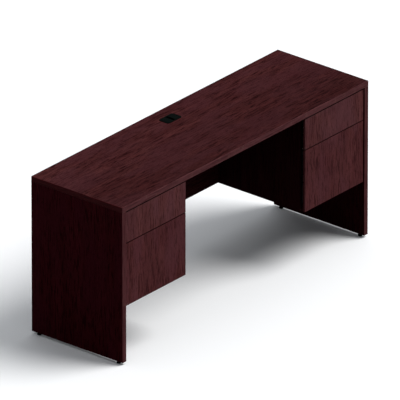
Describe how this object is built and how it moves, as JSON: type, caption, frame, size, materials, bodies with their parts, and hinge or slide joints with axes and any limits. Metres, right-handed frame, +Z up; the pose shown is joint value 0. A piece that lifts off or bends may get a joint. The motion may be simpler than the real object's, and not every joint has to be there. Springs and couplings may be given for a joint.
{
  "type": "pedestal desk",
  "caption": "Flat-top laminate desk on end panels, with hanging pedestals of a box drawer over a file drawer, a modesty panel, a cable grommet and levelling glides.",
  "frame": {"origin": "on the floor, under the middle of the top panel", "axes": "+X to the right seen from the front, +Y to the back, +Z up; the drawers face -Y"},
  "size_m": [1.6764, 0.508, 0.7513],
  "materials": {
    "mahogany_laminate": "satin",
    "mahogany_edge_band": "satin",
    "drawer_board": "matte",
    "slide_steel": "satin",
    "zinc_fittings": "satin",
    "file_rail_aluminium": "satin",
    "black_plastic": "matte",
    "beech_dowel": "matte"
  },
  "bodies": {
    "carcass": {"top_panel": "mahogany_laminate", "left_gable": "mahogany_laminate", "right_gable": "mahogany_laminate", "modesty_panel": "mahogany_laminate", "edge_bands": "mahogany_edge_band", "cam_discs": "zinc_fittings", "cam_bolts": "zinc_fittings", "dowels": "beech_dowel", "slide_screws": "zinc_fittings", "case_screws": "zinc_fittings", "glide_inserts": "zinc_fittings", "grommet_liner": "black_plastic", "left_case_outer_side": "mahogany_laminate", "left_case_inner_side": "mahogany_laminate", "left_case_back": "mahogany_laminate", "left_case_bottom": "mahogany_laminate", "left_case_top_rails": "mahogany_laminate", "left_slide_outers": "slide_steel", "right_case_outer_side": "mahogany_laminate", "right_case_inner_side": "mahogany_laminate", "right_case_back": "mahogany_laminate", "right_case_bottom": "mahogany_laminate", "right_case_top_rails": "mahogany_laminate", "right_slide_outers": "slide_steel"},
    "left_box_drawer": {"left_box_drawer_front": "mahogany_laminate", "left_box_drawer_box_sides": "drawer_board", "left_box_drawer_box_ends": "drawer_board", "left_box_drawer_bottom": "drawer_board", "left_box_drawer_screws": "zinc_fittings", "left_box_drawer_slide_inners": "slide_steel"},
    "left_box_drawer_slides": {"left_box_drawer_slide_middles": "slide_steel"},
    "left_file_drawer": {"left_file_drawer_front": "mahogany_laminate", "left_file_drawer_box_sides": "drawer_board", "left_file_drawer_box_ends": "drawer_board", "left_file_drawer_bottom": "drawer_board", "left_file_drawer_screws": "zinc_fittings", "left_file_drawer_slide_inners": "slide_steel", "left_file_drawer_hanging_rails": "file_rail_aluminium"},
    "left_file_drawer_slides": {"left_file_drawer_slide_middles": "slide_steel"},
    "right_box_drawer": {"right_box_drawer_front": "mahogany_laminate", "right_box_drawer_box_sides": "drawer_board", "right_box_drawer_box_ends": "drawer_board", "right_box_drawer_bottom": "drawer_board", "right_box_drawer_screws": "zinc_fittings", "right_box_drawer_slide_inners": "slide_steel"},
    "right_box_drawer_slides": {"right_box_drawer_slide_middles": "slide_steel"},
    "right_file_drawer": {"right_file_drawer_front": "mahogany_laminate", "right_file_drawer_box_sides": "drawer_board", "right_file_drawer_box_ends": "drawer_board", "right_file_drawer_bottom": "drawer_board", "right_file_drawer_screws": "zinc_fittings", "right_file_drawer_slide_inners": "slide_steel", "right_file_drawer_hanging_rails": "file_rail_aluminium"},
    "right_file_drawer_slides": {"right_file_drawer_slide_middles": "slide_steel"},
    "left_grommet_flap": {"left_grommet_flap": "black_plastic"},
    "right_grommet_flap": {"right_grommet_flap": "black_plastic"},
    "front_left_glide": {"front_left_glide": "black_plastic"},
    "front_right_glide": {"front_right_glide": "black_plastic"},
    "back_left_glide": {"back_left_glide": "black_plastic"},
    "back_right_glide": {"back_right_glide": "black_plastic"}
  },
  "joints": [
    {"name": "left_box_drawer_travel", "type": "slide", "parent": "carcass", "child": "left_box_drawer", "axis": [0, -1, 0], "range_m": [0, 0.406]},
    {"name": "left_box_drawer_slide_travel", "type": "slide", "parent": "carcass", "child": "left_box_drawer_slides", "axis": [0, -1, 0], "range_m": [0, 0.204]},
    {"name": "left_file_drawer_travel", "type": "slide", "parent": "carcass", "child": "left_file_drawer", "axis": [0, -1, 0], "range_m": [0, 0.406]},
    {"name": "left_file_drawer_slide_travel", "type": "slide", "parent": "carcass", "child": "left_file_drawer_slides", "axis": [0, -1, 0], "range_m": [0, 0.204]},
    {"name": "right_box_drawer_travel", "type": "slide", "parent": "carcass", "child": "right_box_drawer", "axis": [0, -1, 0], "range_m": [0, 0.406]},
    {"name": "right_box_drawer_slide_travel", "type": "slide", "parent": "carcass", "child": "right_box_drawer_slides", "axis": [0, -1, 0], "range_m": [0, 0.204]},
    {"name": "right_file_drawer_travel", "type": "slide", "parent": "carcass", "child": "right_file_drawer", "axis": [0, -1, 0], "range_m": [0, 0.406]},
    {"name": "right_file_drawer_slide_travel", "type": "slide", "parent": "carcass", "child": "right_file_drawer_slides", "axis": [0, -1, 0], "range_m": [0, 0.204]},
    {"name": "left_flap_hinge", "type": "hinge", "parent": "carcass", "child": "left_grommet_flap", "pos_m": [-0.0481, 0.163, 0.7498], "axis": [0, -1, 0], "range_deg": [0, 95]},
    {"name": "right_flap_hinge", "type": "hinge", "parent": "carcass", "child": "right_grommet_flap", "pos_m": [0.0301, 0.163, 0.7498], "axis": [0, 1, 0], "range_deg": [0, 95]},
    {"name": "front_left_glide_screw", "type": "slide", "parent": "carcass", "child": "front_left_glide", "axis": [0, 0, -1], "range_m": [0, 0.012]},
    {"name": "front_right_glide_screw", "type": "slide", "parent": "carcass", "child": "front_right_glide", "axis": [0, 0, -1], "range_m": [0, 0.012]},
    {"name": "back_left_glide_screw", "type": "slide", "parent": "carcass", "child": "back_left_glide", "axis": [0, 0, -1], "range_m": [0, 0.012]},
    {"name": "back_right_glide_screw", "type": "slide", "parent": "carcass", "child": "back_right_glide", "axis": [0, 0, -1], "range_m": [0, 0.012]}
  ],
  "couplings": [
    {"joint": "left_box_drawer_slide_travel", "follows": "left_box_drawer_travel", "ratio": 0.5},
    {"joint": "left_file_drawer_slide_travel", "follows": "left_file_drawer_travel", "ratio": 0.5},
    {"joint": "right_box_drawer_slide_travel", "follows": "right_box_drawer_travel", "ratio": 0.5},
    {"joint": "right_file_drawer_slide_travel", "follows": "right_file_drawer_travel", "ratio": 0.5}
  ]
}
